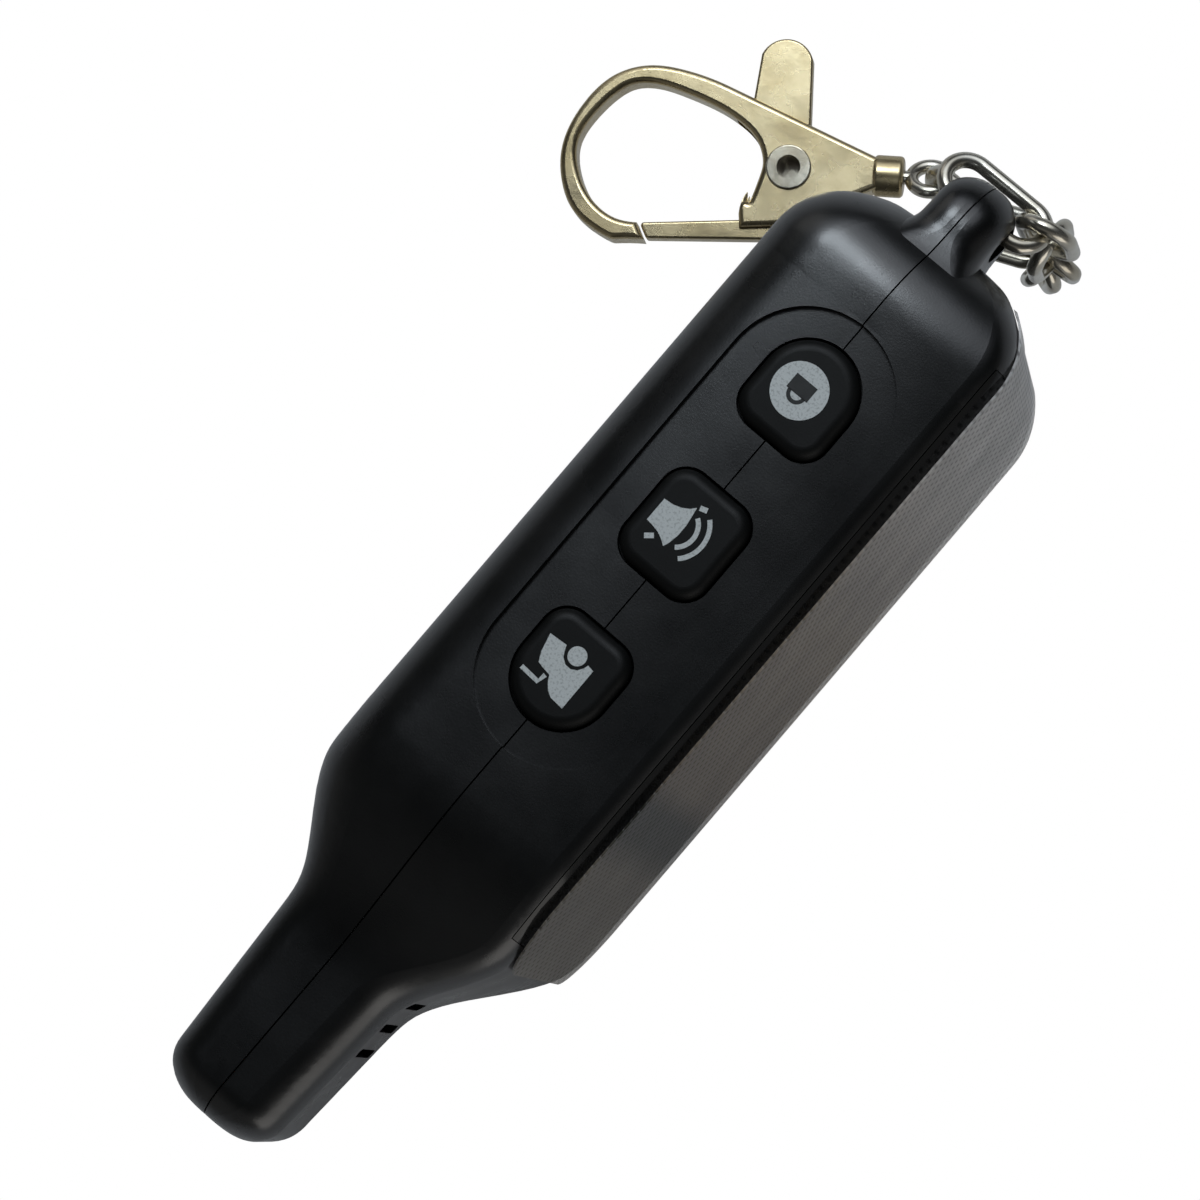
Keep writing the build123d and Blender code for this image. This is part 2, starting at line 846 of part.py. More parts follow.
def antenna_coil():
    """The antenna coil in the stub."""
    start_y = tip_y + wall + coil_wall_gap + coil_wire_r
    start = (0, start_y, stub_mid_z)
    return coil_tube(start, (0, 1, 0), coil_r, coil_pitch, coil_turns, coil_wire_r)


def motor():
    """The can of the vibration motor."""
    return rod_y(motor_y, motor_y + motor_length, motor_x, motor_z, motor_r)


def motor_weight():
    """The shaft of the motor with its half-round weight."""
    end_y = motor_y + motor_length
    shaft = rod_y(end_y, end_y + shaft_length, motor_x, motor_z, shaft_r)
    start = end_y + weight_gap
    weight = rod_y(start, start + weight_length, motor_x, motor_z, weight_r)
    half = block(
        motor_x - weight_r,
        motor_x + weight_r,
        start,
        start + weight_length,
        motor_z - weight_r,
        motor_z + shaft_r,
    )
    return shaft + (weight & half)


def casing_screws():
    """Screws that join the shells, with cross slots."""
    screws = []
    for y, z in screw_places:
        head_x = screw_seat_x - screw_head_height
        head = rod_x(head_x, screw_seat_x, y, z, screw_head_r)
        screw = head + rod_x(screw_seat_x, screw_end_x, y, z, screw_r - screw_play)
        reach = screw_r
        slot_x = head_x + screw_slot_depth
        for across_y, across_z in ((reach, screw_slot_half), (screw_slot_half, reach)):
            screw -= block(
                head_x - cut_over, slot_x, y - across_y, y + across_y, z - across_z, z + across_z
            )
        screws.append(screw)
    return screws


def stadium_link(centre, along, normal, inner_length, inner_width):
    """An oval chain link of round wire."""
    straight = inner_length - inner_width
    bend_r = inner_width / 2 + wire_r
    ring = None
    for side in (1, -1):
        profile = Plane.XZ * (Pos(bend_r, 0) * Circle(wire_r))
        bend = revolve(profile, Axis.Z, 180)
        turned = Pos(side * straight / 2, 0, 0) * Rot(0, 0, -90 * side) * bend
        run = Pos(0, side * bend_r, 0) * Rot(0, 90, 0) * Cylinder(wire_r, straight)
        ring = turned + run if ring is None else ring + turned + run
    frame = Plane(origin=centre, x_dir=along, z_dir=normal)
    return frame.location * ring


def in_plane(direction, normal):
    """The part of a direction that lies in a plane, as a unit."""
    return (direction - normal * direction.dot(normal)).normalized()


def link_axes(course):
    """The direction and the normal of a link from its dip, heading and roll."""
    dip, heading, roll = [math.radians(angle) for angle in course]
    level = Vector(-math.cos(heading), math.sin(heading), 0)
    along = level * math.cos(dip) - Vector(0, 0, math.sin(dip))
    across = Vector(math.sin(heading), math.cos(heading), 0)
    return along, across * math.cos(roll) + along.cross(across) * math.sin(roll)


def first_link_frame():
    """The link through the lug: its frame, and the middle of the run that is in the hole."""
    lean = math.radians(first_link_lean)
    out = Vector(0, math.sin(lean), -math.cos(lean))
    run = Vector(0, lug_hole_y, lug_z) + out * (lug_hole_r - wire_r - link_gap)
    centre = run + out * (first_link_inner_width / 2 + wire_r) + Vector(first_link_shift, 0, 0)
    frame = (centre, Vector(1, 0, 0), Vector(1, 0, 0).cross(out))
    return (*frame, first_link_inner_length, first_link_inner_width), run, out


def chain_links():
    """Frames of the links, each hanging in the one before, their hinge places and the open end."""
    frame, run, out = first_link_frame()
    frames, hinges = [frame], [(run, frame[1])]
    turn = math.radians(first_link_exit)
    bend_x = (first_link_inner_length - first_link_inner_width) / 2
    bend_at = frame[0] + Vector(bend_x, 0, 0)
    toward = Vector(math.cos(turn), 0, 0) + out * math.sin(turn)
    half_width = link_inner_width / 2 + wire_r
    half_run = (link_inner_length - link_inner_width) / 2
    place = bend_at + toward * (first_link_inner_width / 2 + wire_r)
    for number, course in enumerate(link_courses):
        along, normal = link_axes(course)
        if number == 0:
            pull, back_pull, gap = along, along, second_link_gap
        else:
            back_pull = in_plane(frames[-1][1], normal)
            place = bend_at + in_plane(along, frames[-1][2]) * half_width
            pull = (in_plane(along, frames[-1][2]) + back_pull).normalized()
            gap = link_gap
        bend = place - pull * (2 * wire_r + gap) + back_pull * half_width
        centre = bend + along * half_run
        bend_at = centre + along * half_run
        frames.append((centre, along, normal, link_inner_length, link_inner_width))
        hinges.append((place, normal))
    return frames, hinges, bend_at


link_frames, link_hinges, chain_bend = chain_links()

# The swivel eye hangs in the last link, and the clasp lies on the surface beyond it
clasp_turn = math.radians(clasp_heading)
clasp_along = Vector(math.cos(clasp_turn), math.sin(clasp_turn), 0)
clasp_side = Vector(-math.sin(clasp_turn), math.cos(clasp_turn), 0)
eye_turn = math.radians(eye_roll)
eye_across = clasp_side * math.cos(eye_turn) + Vector(0, 0, math.sin(eye_turn))
eye_normal = clasp_along.cross(eye_across)
eye_pull = in_plane(clasp_along, link_frames[-1][2])
eye_back_pull = in_plane(link_frames[-1][1], eye_normal)
eye_place = chain_bend + eye_pull * (link_inner_width / 2 + wire_r)
eye_gap = wire_r + eye_wire_r + link_gap
eye_centre = eye_place - (eye_pull + eye_back_pull).normalized() * eye_gap + eye_back_pull * eye_r
eye_to_collar = collar_length / 2 + swivel_play + eye_wire_r + eye_r
clasp_origin = eye_centre + clasp_along * eye_to_collar
clasp_plane = Plane(origin=clasp_origin, x_dir=clasp_along, z_dir=(0, 0, 1))
rivet_along = rivet_share * clasp_length
rivet_centre = clasp_origin + clasp_along * rivet_along


def swivel():
    """The eye of the swivel with its shaft and the head that keeps it in the collar."""
    ring = Plane(origin=eye_centre, x_dir=clasp_along, z_dir=eye_normal).location * Torus(eye_r, eye_wire_r)
    shaft_start = -eye_to_collar + eye_r
    head_start = collar_length / 2 + swivel_play
    head_end = head_start + swivel_head_height
    rod = Pos((shaft_start + head_end) / 2, 0, 0) * Rot(0, 90, 0)
    shaft = rod * Cylinder(swivel_r, head_end - shaft_start)
    head_place = Pos((head_start + head_end) / 2, 0, 0) * Rot(0, 90, 0)
    head = head_place * Cylinder(swivel_head_r, swivel_head_height)
    return ring + clasp_plane.location * (shaft + head)


def clasp_point(shares):
    """A point of the clasp's outline from its shares."""
    return Vector(shares[0] * clasp_length, shares[1] * clasp_half, 0)


def rivet_arc_point(radius, angle):
    """A point on a circle around the rivet."""
    turn = math.radians(angle)
    return Vector(rivet_along + radius * math.cos(turn), radius * math.sin(turn), 0)


def arc_round_rivet(radius, angles):
    """An arc around the rivet from one angle to another."""
    first, last = angles
    points = [rivet_arc_point(radius, angle) for angle in (first, (first + last) / 2, last)]
    return Edge.make_three_point_arc(*points)


def raised(edges, height):
    """A flat outline of the clasp, raised to a plate that is centred on its middle plane."""
    face = Face(Wire(edges))
    return Pos(0, 0, -height / 2) * extrude(face, height, dir=(0, 0, 1))


def soften(plate, height, radius):
    """The plate with the edges of both its faces rounded."""
    edges = plate.edges().filter_by_position(Axis.Z, height / 2 - least_r / 2, height / 2 + least_r / 2)
    edges += plate.edges().filter_by_position(Axis.Z, -height / 2 - least_r / 2, least_r / 2 - height / 2)
    return fillet(edges, radius)


def in_runs(edge, count):
    """A curve as shorter runs, end to end."""
    return [edge.trim(number / count, (number + 1) / count) for number in range(count)]


def polygon_edges(points):
    """Straight runs through points."""
    return [Edge.make_line(a, b) for a, b in zip(points, points[1:])]


def clasp_hook():
    """The loop of the clasp, its two flanks around the trigger, and the collar of the swivel."""
    start_a, start_s = hook_start_shares
    top, low = clasp_point((start_a, -start_s)), clasp_point((start_a, start_s))
    outer = [clasp_point(shares) for shares in hook_outer_shares]
    inner = [clasp_point(shares) for shares in hook_inner_shares]
    corners = [clasp_point(shares) for shares in hook_low_shares]
    nose = arc_round_rivet(nose_r, nose_angles)
    outer.append(nose @ 0)
    inner.insert(0, nose @ 1)
    edges = [Edge.make_line(top, outer[0])]
    edges += in_runs(Edge.make_spline(outer, tangents=[outer[0] - top, Vector(-1, 0, 0)]), loop_run_count)
    edges.append(nose)
    edges += in_runs(Edge.make_spline(inner, tangents=[Vector(1, 0, 0), corners[0] - inner[-2]]), loop_run_count)
    edges += polygon_edges([inner[-1], *corners, low, top])
    plate = soften(raised(edges, clasp_height), clasp_height, clasp_edge_r)
    collar = Rot(0, 90, 0) * Cylinder(collar_r, collar_length)
    collar = fillet(collar.edges().filter_by(GeomType.CIRCLE), collar_edge_r)
    hook = plate + collar
    reach = cut_over + collar_length
    hook -= Rot(0, 90, 0) * Cylinder(swivel_r + swivel_play, 2 * reach)
    slot_start = clasp_point(hook_slot_shares[0]).X
    well_end = slot_start + cut_over / 2
    well = Pos((collar_length / 2 + well_end) / 2, 0, 0) * Rot(0, 90, 0)
    hook -= well * Cylinder(swivel_head_r + swivel_play, well_end - collar_length / 2)
    slot_points = [clasp_point(shares) for shares in hook_slot_shares]
    hook -= raised(polygon_edges([*slot_points, slot_points[0]]), clasp_slot)
    hook -= Pos(rivet_along, 0, 0) * Cylinder(rivet_r + rivet_play, clasp_height + cut_over)
    return clasp_plane.location * hook


def clasp_trigger():
    """The lever of the clasp: thumb tab at one end, gate of the loop at the other."""
    tab = [clasp_point(shares) for shares in tab_shares]
    inner = [clasp_point(shares) for shares in trigger_inner_shares]
    outer = [clasp_point(shares) for shares in trigger_outer_shares]
    tip = arc_round_rivet(nose_r - trigger_gap, trigger_tip_angles)
    edges = [Edge.make_three_point_arc(*tab)]
    edges += polygon_edges([tab[-1], *inner, tip @ 0])
    edges.append(tip)
    edges += polygon_edges([tip @ 1, *outer, tab[0]])
    height = clasp_slot - 2 * trigger_play
    lever = raised(edges, height)
    upright = lever.edges().filter_by(Axis.Z)
    lever = soften(fillet(upright, trigger_edge_r), height, trigger_face_r)
    lever -= Pos(rivet_along, 0, 0) * Cylinder(rivet_r + trigger_bore_play, clasp_height + cut_over)
    pocket_r = rivet_r + torsion_play + 2 * torsion_wire_r + torsion_play
    pocket_height = height - 2 * trigger_cheek
    pocket = Cylinder(pocket_r, pocket_height)
    pocket += Pos(pocket_r, 0, 0) * Box(2 * pocket_r, 2 * pocket_r, pocket_height)
    return clasp_plane.location * (lever - Pos(rivet_along, 0, 0) * pocket)


def clasp_rivet():
    """The rivet on which the trigger turns, with a rolled rim at each face and a blind bore from above."""
    rivet = Cylinder(rivet_r, clasp_height)
    for side in (1, -1):
        rim = Pos(0, 0, side * (clasp_height + rivet_rim_height) / 2)
        rivet += rim * Cylinder(rivet_rim_r, rivet_rim_height)
    rim_edges = rivet.edges().filter_by(GeomType.CIRCLE).filter_by(lambda edge: edge.radius > rivet_r)
    rivet = fillet(rim_edges.group_by(Axis.Z)[-1] + rim_edges.group_by(Axis.Z)[0], rivet_rim_height / 2)
    bore_start = rivet_floor - clasp_height / 2
    bore_end = clasp_height / 2 + cut_over
    rivet -= Pos(0, 0, (bore_start + bore_end) / 2) * Cylinder(rivet_bore_r, bore_end - bore_start)
    return Pos(*rivet_centre) * rivet


def clasp_spring():
    """The small torsion spring round the rivet, inside the trigger."""
    height = torsion_pitch * torsion_turns
    start = (0, 0, -height / 2)
    radius = rivet_r + torsion_play + torsion_wire_r
    coil = coil_tube(start, (0, 0, 1), radius, torsion_pitch, torsion_turns, torsion_wire_r)
    return Pos(*rivet_centre) * coil


def build_parts():
    """All pieces by name."""
    outside = casing_outside()
    backlight, glass, display_frame, zebra_strips = display_stack()
    pieces = {
        "front_shell": front_shell(outside),
        "back_shell": back_shell(outside),
        "front_panel": front_panel(),
        "display_window": display_window(),
        "protective_film": protective_film(),
        "battery_cover": battery_cover(),
        "keypad_membrane": keypad_membrane(),
        "circuit_board": circuit_board(),
        "display_backlight": backlight,
        "display_glass": glass,
        "display_frame": display_frame,
        "zebra_strips": zebra_strips,
        "processor": processor(),
        "radio_can": radio_can(),
        "crystal": crystal(),
        "capacitors": capacitors(),
        "buzzer": buzzer(),
        "battery": battery(),
        "battery_spring": battery_spring(),
        "spring_contact": contact_plate(bay_start),
        "pole_contact": contact_plate(battery_end_y + contact_gap),
        "antenna_coil": antenna_coil(),
        "vibration_motor": motor(),
        "motor_weight": motor_weight(),
        "casing_screws": casing_screws(),
        "swivel_eye": swivel(),
        "clasp_hook": clasp_hook(),
        "clasp_trigger": clasp_trigger(),
        "clasp_rivet": clasp_rivet(),
        "clasp_spring": clasp_spring(),
    }
    for number, name in enumerate(key_names):
        pieces[f"key_{name}"] = key_cap(number)
        pieces[f"plunger_{name}"] = switch_plunger(number)
        pieces[f"switch_{name}"] = switch_body(number)
    for number, (centre, along, normal, length, width) in enumerate(link_frames):
        pieces[f"chain_link_{number + 1}"] = stadium_link(centre, along, normal, length, width)
    return pieces


def as_shape(piece):
    """One shape to write, also where a piece is a group of separate solids."""
    if isinstance(piece, list):
        solids = [solid for member in piece for solid in member.solids()]
        return Compound(children=solids)
    solids = piece.solids()
    return solids[0] if len(solids) == 1 else Compound(children=solids)


parts = {name: as_shape(piece) for name, piece in build_parts().items()}

if __name__ == "__main__":
    for name, shape in parts.items():
        export_step(shape, f"parts/{name}.step")
    for place, axis in link_hinges:
        print("link turns at", place, "about", axis)
    print("clasp origin", clasp_origin, "rivet", rivet_centre, "eye", eye_centre)
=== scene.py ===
"""Looks of the car alarm fob: materials, printed icons, light and camera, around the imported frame."""
import math

import bmesh
import bpy
from mathutils import Matrix, Vector


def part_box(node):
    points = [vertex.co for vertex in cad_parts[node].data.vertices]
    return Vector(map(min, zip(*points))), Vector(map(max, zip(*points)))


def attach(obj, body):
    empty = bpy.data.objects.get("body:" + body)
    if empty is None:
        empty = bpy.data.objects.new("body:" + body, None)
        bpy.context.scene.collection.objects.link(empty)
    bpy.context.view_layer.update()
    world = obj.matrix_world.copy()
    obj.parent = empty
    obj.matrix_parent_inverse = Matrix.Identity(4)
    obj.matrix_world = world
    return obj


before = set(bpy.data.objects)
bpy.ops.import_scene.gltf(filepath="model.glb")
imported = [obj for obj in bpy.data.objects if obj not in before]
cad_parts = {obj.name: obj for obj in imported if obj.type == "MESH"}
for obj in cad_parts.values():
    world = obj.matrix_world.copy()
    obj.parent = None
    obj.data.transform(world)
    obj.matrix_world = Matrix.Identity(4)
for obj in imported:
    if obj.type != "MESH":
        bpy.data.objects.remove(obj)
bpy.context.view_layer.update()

MM = 0.001
WHITE = (1.0, 1.0, 1.0, 1.0)
scene = bpy.context.scene
scene.view_settings.view_transform = "Standard"


# Camera at the photograph's angle: nearly straight down, leaning towards the display, rolled.
# The image's width is in pixels, lengths and the point looked at are in millimetres.
IMAGE_WIDTH = 1200
PIXELS_PER_MM = 14.0
SIGHT_LENGTH = 350.0
SENSOR_WIDTH = 36.0
CLIP_START = 10.0
LEAN = math.radians(9.4)
ROLL_SIDE, ROLL_UP = 0.760, 0.650
LOOKED_AT = Vector((-1.52, 2.1, 38.0))


def add_camera():
    away = Vector((math.sin(LEAN), 0, math.cos(LEAN)))
    level = Vector((math.cos(LEAN), 0, -math.sin(LEAN)))
    right = (level * ROLL_SIDE + Vector((0, ROLL_UP, 0))).normalized()
    up = away.cross(right).normalized()
    data = bpy.data.cameras.new("camera")
    data.sensor_width = SENSOR_WIDTH
    data.lens = PIXELS_PER_MM * SIGHT_LENGTH * SENSOR_WIDTH / IMAGE_WIDTH
    data.clip_start = CLIP_START * MM
    camera = bpy.data.objects.new("camera", data)
    scene.collection.objects.link(camera)
    axes = Matrix((right, up, away)).transposed()
    place = (LOOKED_AT + away * SIGHT_LENGTH) * MM
    camera.matrix_world = Matrix.Translation(place) @ axes.to_4x4()
    scene.camera = camera


add_camera()


# Nodes
# A Mix node has the sockets of all its data types: these are the places of those for colours
MIX_FACTOR, MIX_FIRST, MIX_SECOND, MIX_RESULT = 0, 6, 7, 2
SHADER_SOCKETS = {
    "colour": "Base Color",
    "roughness": "Roughness",
    "metallic": "Metallic",
    "gloss": "Specular IOR Level",
    "alpha": "Alpha",
    "normal": "Normal",
}


def linear(red, green, blue):
    """A colour given as 0 to 255 on screen, as Blender's linear values, by the sRGB curve."""
    channels = []
    for value in (red, green, blue):
        share = value / 255.0
        channels.append(share / 12.92 if share <= 0.04045 else ((share + 0.055) / 1.055) ** 2.4)
    return (*channels, 1.0)


class Nodes:
    """A short way to build the nodes of a new material or world."""

    def __init__(self, owner):
        owner.use_nodes = True
        self.owner = owner
        self.tree = owner.node_tree
        self.shader = self.tree.nodes.get("Principled BSDF")

    def add(self, kind, **settings):
        """A new node. Each setting goes to the input of that name, or else to the node itself."""
        node = self.tree.nodes.new(kind)
        for key, value in settings.items():
            if key in node.inputs:
                node.inputs[key].default_value = value
            else:
                setattr(node, key, value)
        return node

    def join(self, source, target):
        self.tree.links.new(source, target)

    def feed(self, value, socket):
        """Set a socket to a plain value, or join another node's output to it."""
        if isinstance(value, (int, float, tuple)):
            socket.default_value = value
        else:
            self.join(value, socket)

    def object_place(self):
        """Where a point lies on its object, in metres."""
        return self.add("ShaderNodeTexCoord").outputs["Object"]

    def noise(self, scale, detail=4.0, rough=0.55):
        """Soft noise from 0 to 1, with the scale in cells per metre."""
        node = self.add("ShaderNodeTexNoise", Scale=scale, Detail=detail, Roughness=rough)
        self.join(self.object_place(), node.inputs["Vector"])
        return node.outputs["Fac"]

    def ramp(self, factor, stops):
        """Colours by a factor from 0 to 1."""
        node = self.add("ShaderNodeValToRGB")
        ramp = node.color_ramp
        while len(ramp.elements) < len(stops):
            ramp.elements.new(0.5)
        for element, (place, colour) in zip(ramp.elements, stops):
            element.position = place
            element.color = colour
        self.join(factor, node.inputs["Fac"])
        return node.outputs["Color"]

    def grey_ramp(self, factor, stops):
        """Plain values by a factor from 0 to 1."""
        return self.ramp(factor, [(place, (value, value, value, 1.0)) for place, value in stops])

    def calculate(self, operation, first, second=0.0):
        node = self.add("ShaderNodeMath", operation=operation)
        self.feed(first, node.inputs[0])
        self.feed(second, node.inputs[1])
        return node.outputs[0]

    def mix(self, factor, first, second):
        node = self.add("ShaderNodeMix", data_type="RGBA")
        self.feed(factor, node.inputs[MIX_FACTOR])
        self.feed(first, node.inputs[MIX_FIRST])
        self.feed(second, node.inputs[MIX_SECOND])
        return node.outputs[MIX_RESULT]

    def bump(self, height, distance, strength, under=None):
        """A bump of a height in metres, laid over another bump if one is given."""
        node = self.add("ShaderNodeBump", Distance=distance, Strength=strength)
        self.join(height, node.inputs["Height"])
        if under is not None:
            self.join(under, node.inputs["Normal"])
        return node.outputs["Normal"]

    def show_to_camera(self, seen, lit, output):
        """What the camera sees directly, in place of what the light meets."""
        path = self.add("ShaderNodeLightPath")
        choose = self.add("ShaderNodeMixShader")
        self.join(path.outputs["Is Camera Ray"], choose.inputs[0])
        self.join(lit.outputs[0], choose.inputs[1])
        self.join(seen.outputs[0], choose.inputs[2])
        self.join(choose.outputs[0], output.inputs["Surface"])

    def finish(self, **inputs):
        """Feed the shader and return the material."""
        for key, value in inputs.items():
            self.feed(value, self.shader.inputs[SHADER_SOCKETS[key]])
        return self.owner


def new_material(name):
    return Nodes(bpy.data.materials.new(name))


# Materials: colours are 0 to 255 on screen, noise scales are cells per metre, bump heights are metres
def moulded_plastic(name, dark, light, rough, grain=0.00016, depth=0.000012, gloss=0.5):
    """Moulded plastic with a fine eroded grain, faint blotches and a few dust specks."""
    blotch_scale, speck_scale, dusty_scale, rough_scale = 70.0, 260.0, 35.0, 180.0
    speck_radius, dust_strength, grain_strength = 0.035, 0.35, 0.55
    n = new_material(name)
    fine = n.noise(1.0 / grain, 3.0, 0.6)
    colour = n.ramp(n.noise(blotch_scale, 5.0), [(0.3, linear(*dark)), (0.75, linear(*light))])
    specks = n.add("ShaderNodeTexVoronoi", Scale=speck_scale)
    n.join(n.object_place(), specks.inputs["Vector"])
    dust = n.grey_ramp(specks.outputs["Distance"], [(0.0, 1.0), (speck_radius, 0.0)])
    dusty = n.grey_ramp(n.noise(dusty_scale, 2.0), [(0.58, 0.0), (0.66, 1.0)])
    dust_share = n.calculate("MULTIPLY", n.calculate("MULTIPLY", dust, dusty), dust_strength)
    colour = n.mix(dust_share, colour, linear(150, 150, 148))
    rough_low, rough_high = rough
    roughness = n.grey_ramp(n.noise(rough_scale), [(0.3, rough_low), (0.7, rough_high)])
    normal = n.bump(fine, depth, grain_strength)
    return n.finish(colour=colour, roughness=roughness, normal=normal, gloss=gloss)


def bright_metal(name, colour, tint, rough):
    """Plated metal with soft stains, fine scratches and slightly uneven plating."""
    stain_scale, rough_scale, wave_scale, scratch_scale = 240.0, 420.0, 160.0, 2600.0
    wave_height, scratch_height, bump_strength = 0.00006, 0.000006, 0.5
    n = new_material(name)
    base = n.ramp(n.noise(stain_scale, 6.0, 0.65), [(0.32, linear(*tint)), (0.62, linear(*colour))])
    rough_low, rough_high = rough
    roughness = n.grey_ramp(n.noise(rough_scale, 5.0), [(0.3, rough_low), (0.75, rough_high)])
    waves = n.bump(n.noise(wave_scale, 2.0), wave_height, bump_strength)
    normal = n.bump(n.noise(scratch_scale, 2.0), scratch_height, bump_strength, waves)
    return n.finish(colour=base, roughness=roughness, normal=normal, metallic=0.92)


# The film's colours along it, by a factor that is 0 near the antenna stub's end and 1 at the lug's
# From 0.6 on, the colours grow pale to near white towards the lug's end: a painted sheen of the light
# from the lug's side.
FILM_COLOURS_AND_SHEEN = (
    (0.0, (136, 131, 122)), (0.22, (128, 119, 106)), (0.265, (34, 36, 20)), (0.31, (30, 32, 18)),
    (0.345, (138, 124, 108)), (0.6, (166, 152, 134)), (0.74, (196, 186, 176)), (1.0, (238, 237, 236)),
)
FILM_FACTOR_PER_METRE, FILM_FACTOR_AT_ORIGIN = 16.0, 0.42


def film_plastic():
    """Clear film with rows of small dimples whose hollows are darkened as painted shade, greyer and
    browner by turns, darker in one band, and paler towards the lug's end as a painted sheen.
    """
    row_pitch, dimple_pitch, dimple_depth = 0.00085, 0.0021, 0.00012
    blotch_scale, fold_scale, fold_height = 160.0, 90.0, 0.0006
    n = new_material("film_plastic")
    where = n.add("ShaderNodeSeparateXYZ")
    n.join(n.object_place(), where.inputs[0])
    rows = n.calculate("SINE", n.calculate("MULTIPLY", where.outputs["Y"], 2 * math.pi / row_pitch))
    lines = n.calculate("SINE", n.calculate("MULTIPLY", where.outputs["Z"], 2 * math.pi / dimple_pitch))
    dimple = n.calculate("MAXIMUM", n.calculate("MULTIPLY", rows, lines), 0.0)
    along = n.calculate("MULTIPLY", where.outputs["Y"], FILM_FACTOR_PER_METRE)
    along = n.calculate("ADD", along, FILM_FACTOR_AT_ORIGIN)
    # The ramp's paling towards the lug's end is a painted sheen.
    base = n.ramp(along, [(factor, linear(*colour)) for factor, colour in FILM_COLOURS_AND_SHEEN])
    blotch = n.grey_ramp(n.noise(blotch_scale, 5.0, 0.6), [(0.35, 0.0), (0.75, 0.5)])
    base = n.mix(blotch, base, linear(70, 64, 58))
    # The dimples' hollows are darkened in colour: painted shade.
    base = n.mix(n.calculate("MULTIPLY", dimple, 0.7), base, linear(58, 52, 48))
    dimples = n.bump(n.calculate("MULTIPLY", dimple, -1.0), dimple_depth, 0.8)
    normal = n.bump(n.noise(fold_scale, 3.0), fold_height, 0.5, dimples)
    return n.finish(colour=base, roughness=0.28, normal=normal, alpha=0.7, gloss=0.35)


def plain(name, colour, second, rough, metallic=0.0, scale=300.0):
    """A simple surface: two close colours in soft blotches, and a fine bump."""
    bump_height, bump_strength = 0.00002, 0.4
    n = new_material(name)
    base = n.ramp(n.noise(scale), [(0.35, linear(*colour)), (0.7, linear(*second))])
    rough_stops = [(0.3, rough * 0.8), (0.7, min(1.0, rough * 1.2))]
    roughness = n.grey_ramp(n.noise(scale * 3, 3.0), rough_stops)
    normal = n.bump(n.noise(scale * 8, 2.0), bump_height, bump_strength)
    return n.finish(colour=base, roughness=roughness, normal=normal, metallic=metallic)


def clear_window():
    """Smoky clear plastic, with a faint wave in its surface."""
    blotch_scale, wave_scale, wave_height, wave_strength = 120.0, 60.0, 0.00005, 0.4
    n = new_material("window_plastic")
    base = n.ramp(n.noise(blotch_scale), [(0.3, linear(46, 52, 50)), (0.7, linear(58, 63, 60))])
    normal = n.bump(n.noise(wave_scale, 2.0), wave_height, wave_strength)
    return n.finish(colour=base, roughness=0.06, normal=normal, alpha=0.55)


casing = moulded_plastic("casing_plastic", (7, 8, 8), (10, 12, 12), rough=(0.25, 0.33), gloss=0.9)
key_skin = moulded_plastic(
    "key_skin", (6, 7, 7), (9, 11, 10), rough=(0.45, 0.58), grain=0.0001, gloss=0.25)
panel = moulded_plastic(
    "panel_plastic", (12, 13, 13), (17, 18, 18), rough=(0.1, 0.16), grain=0.0004, depth=0.000004)
nickel = bright_metal("nickel", (208, 192, 154), (186, 168, 128), rough=(0.2, 0.34))
chain_metal = bright_metal("chain_metal", (222, 218, 206), (190, 182, 164), rough=(0.14, 0.28))
rivet_metal = bright_metal("rivet_metal", (214, 208, 192), (160, 148, 124), rough=(0.18, 0.3))
looks = {
    "front_shell": casing,
    "back_shell": casing,
    "battery_cover": casing,
    "front_panel": panel,
    "display_window": clear_window(),
    "protective_film": film_plastic(),
    "key_lock": key_skin,
    "key_horn": key_skin,
    "key_trunk": key_skin,
    "clasp_hook": nickel,
    "clasp_trigger": nickel,
    "clasp_rivet": rivet_metal,
    "swivel_eye": chain_metal,
}
LINK_COUNT = 8
for number in range(LINK_COUNT):
    looks[f"chain_link_{number + 1}"] = chain_metal

# Pieces with a plain surface: the name of the look, its two colours and its roughness
PLAIN_METALS = {
    "clasp_spring": ("spring_steel", (150, 150, 148), (120, 120, 118), 0.3),
    "casing_screws": ("screw_steel", (60, 60, 62), (44, 44, 46), 0.35),
    "antenna_coil": ("copper", (200, 120, 74), (176, 100, 60), 0.25),
}
PLAIN_OTHERS = {
    "circuit_board": ("board", (16, 74, 44), (22, 88, 52), 0.35),
    "display_glass": ("display_glass_look", (128, 138, 118), (118, 128, 110), 0.12),
    "display_backlight": ("backlight", (214, 220, 226), (200, 208, 216), 0.3),
    "display_frame": ("frame_plastic", (206, 204, 198), (190, 188, 182), 0.5),
    "zebra_strips": ("zebra_rubber", (150, 110, 130), (120, 90, 105), 0.6),
    "keypad_membrane": ("silicone", (130, 132, 132), (116, 118, 118), 0.6),
    "processor": ("chip_resin", (30, 30, 31), (40, 40, 42), 0.5),
    "buzzer": ("buzzer_plastic", (26, 26, 26), (36, 36, 36), 0.45),
    "battery": ("battery_sleeve", (40, 62, 104), (48, 70, 112), 0.25),
}
for tin_piece in ("radio_can", "crystal", "capacitors", "vibration_motor", "motor_weight",
                  "spring_contact", "pole_contact", "battery_spring"):
    PLAIN_METALS[tin_piece] = (f"tin_{tin_piece}", (186, 186, 182), (160, 160, 158), 0.3)
for key_name in ("lock", "horn", "trunk"):
    PLAIN_OTHERS[f"switch_{key_name}"] = (f"switch_look_{key_name}", (34, 34, 35), (28, 28, 29), 0.5)
    PLAIN_OTHERS[f"plunger_{key_name}"] = (
        f"plunger_look_{key_name}", (196, 192, 180), (182, 178, 168), 0.5)
